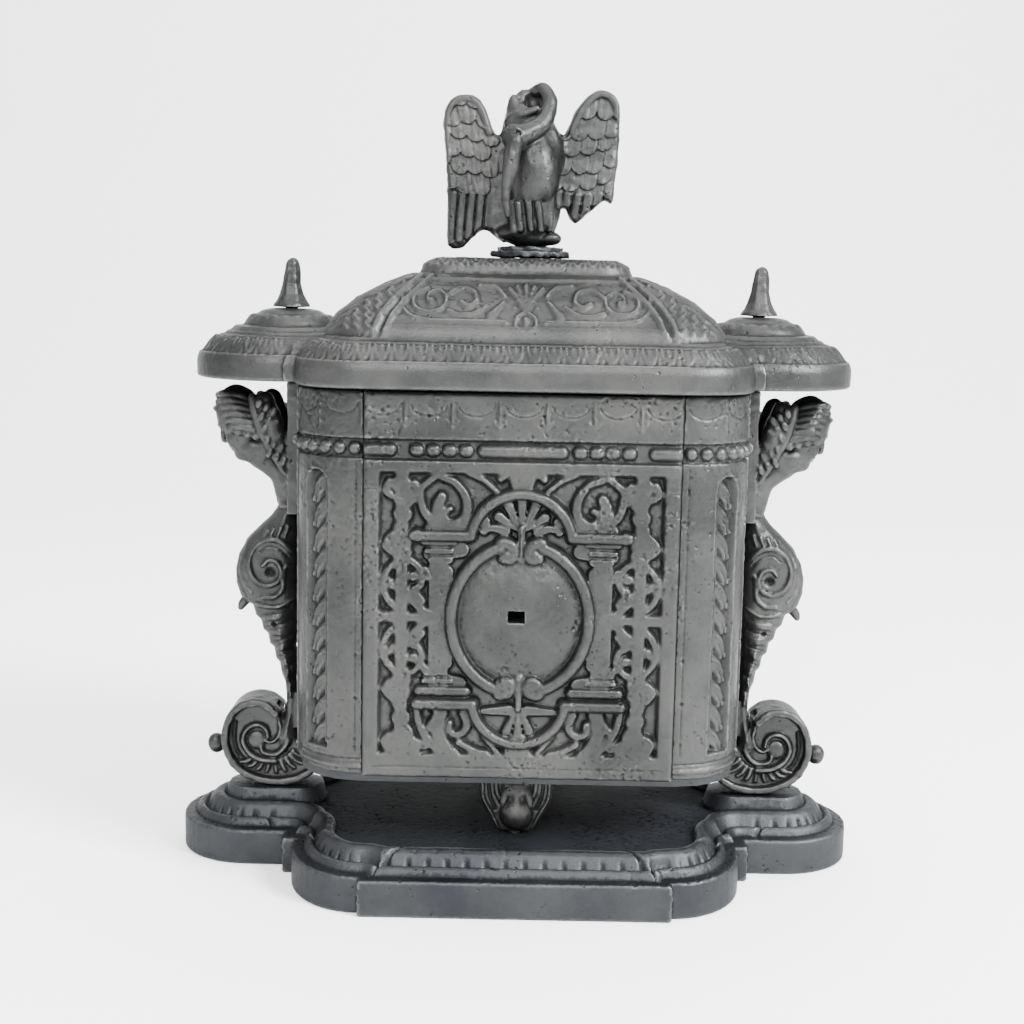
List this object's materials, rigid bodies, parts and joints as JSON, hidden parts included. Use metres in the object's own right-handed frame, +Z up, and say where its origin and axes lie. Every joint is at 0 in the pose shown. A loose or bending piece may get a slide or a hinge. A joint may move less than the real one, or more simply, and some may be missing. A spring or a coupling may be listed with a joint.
{
  "type": "inkwell",
  "caption": "Casket inkwell of cast grey metal: hinged domed lid with a pelican finial, figure brackets, lobed base, glass ink pot inside.",
  "frame": {"origin": "middle of the base's underside, on the surface the inkwell stands on", "axes": "+Z up, -Y towards the front panel, +X to the viewer's right when facing the front"},
  "size_m": [0.118, 0.068, 0.1331],
  "materials": {
    "cast_metal": "satin cast grey metal, rubbed lighter on edges and dark in recesses",
    "dark_cast_metal": "darker satin cast metal",
    "steel": "dull steel fasteners and hinge",
    "nut_brass": "plain brass",
    "pot_glass": "pressed clear glass"
  },
  "bodies": {
    "case": {"base_plinth": "dark_cast_metal", "box_floor": "dark_cast_metal", "front_panel": "cast_metal", "back_panel": "cast_metal", "casing_left": "cast_metal", "casing_right": "cast_metal", "caryatid_left": "cast_metal", "caryatid_right": "cast_metal", "claw_foot_front": "cast_metal", "claw_foot_rear": "cast_metal", "well_deck": "dark_cast_metal", "hinge_body_leaf": "steel", "hinge_pin": "steel", "hinge_rivet_body_left": "steel", "hinge_rivet_body_right": "steel", "base_screw_front": "steel", "base_screw_rear": "steel", "base_screw_left": "steel", "base_screw_right": "steel", "floor_screw_front": "steel", "floor_screw_rear": "steel", "bracket_screw_upper_left": "steel", "bracket_screw_upper_right": "steel", "bracket_screw_lower_left": "steel", "bracket_screw_lower_right": "steel"},
    "lid": {"lid": "cast_metal", "spire_left": "cast_metal", "spire_right": "cast_metal", "pelican_finial": "cast_metal", "finial_collar": "dark_cast_metal", "finial_nut": "nut_brass", "hinge_lid_leaf": "steel", "hinge_rivet_lid_left": "steel", "hinge_rivet_lid_right": "steel"},
    "ink_pot": {"ink_pot": "pot_glass"}
  },
  "joints": [
    {"name": "lid_hinge", "type": "hinge", "parent": "case", "child": "lid", "pos_m": [0, 0.03195, 0.0833], "axis": [-1, 0, 0], "range_deg": [0, 100]},
    {"name": "pot_lift", "type": "slide", "parent": "case", "child": "ink_pot", "axis": [0, 0, 1], "range_m": [0, 0.012]}
  ]
}
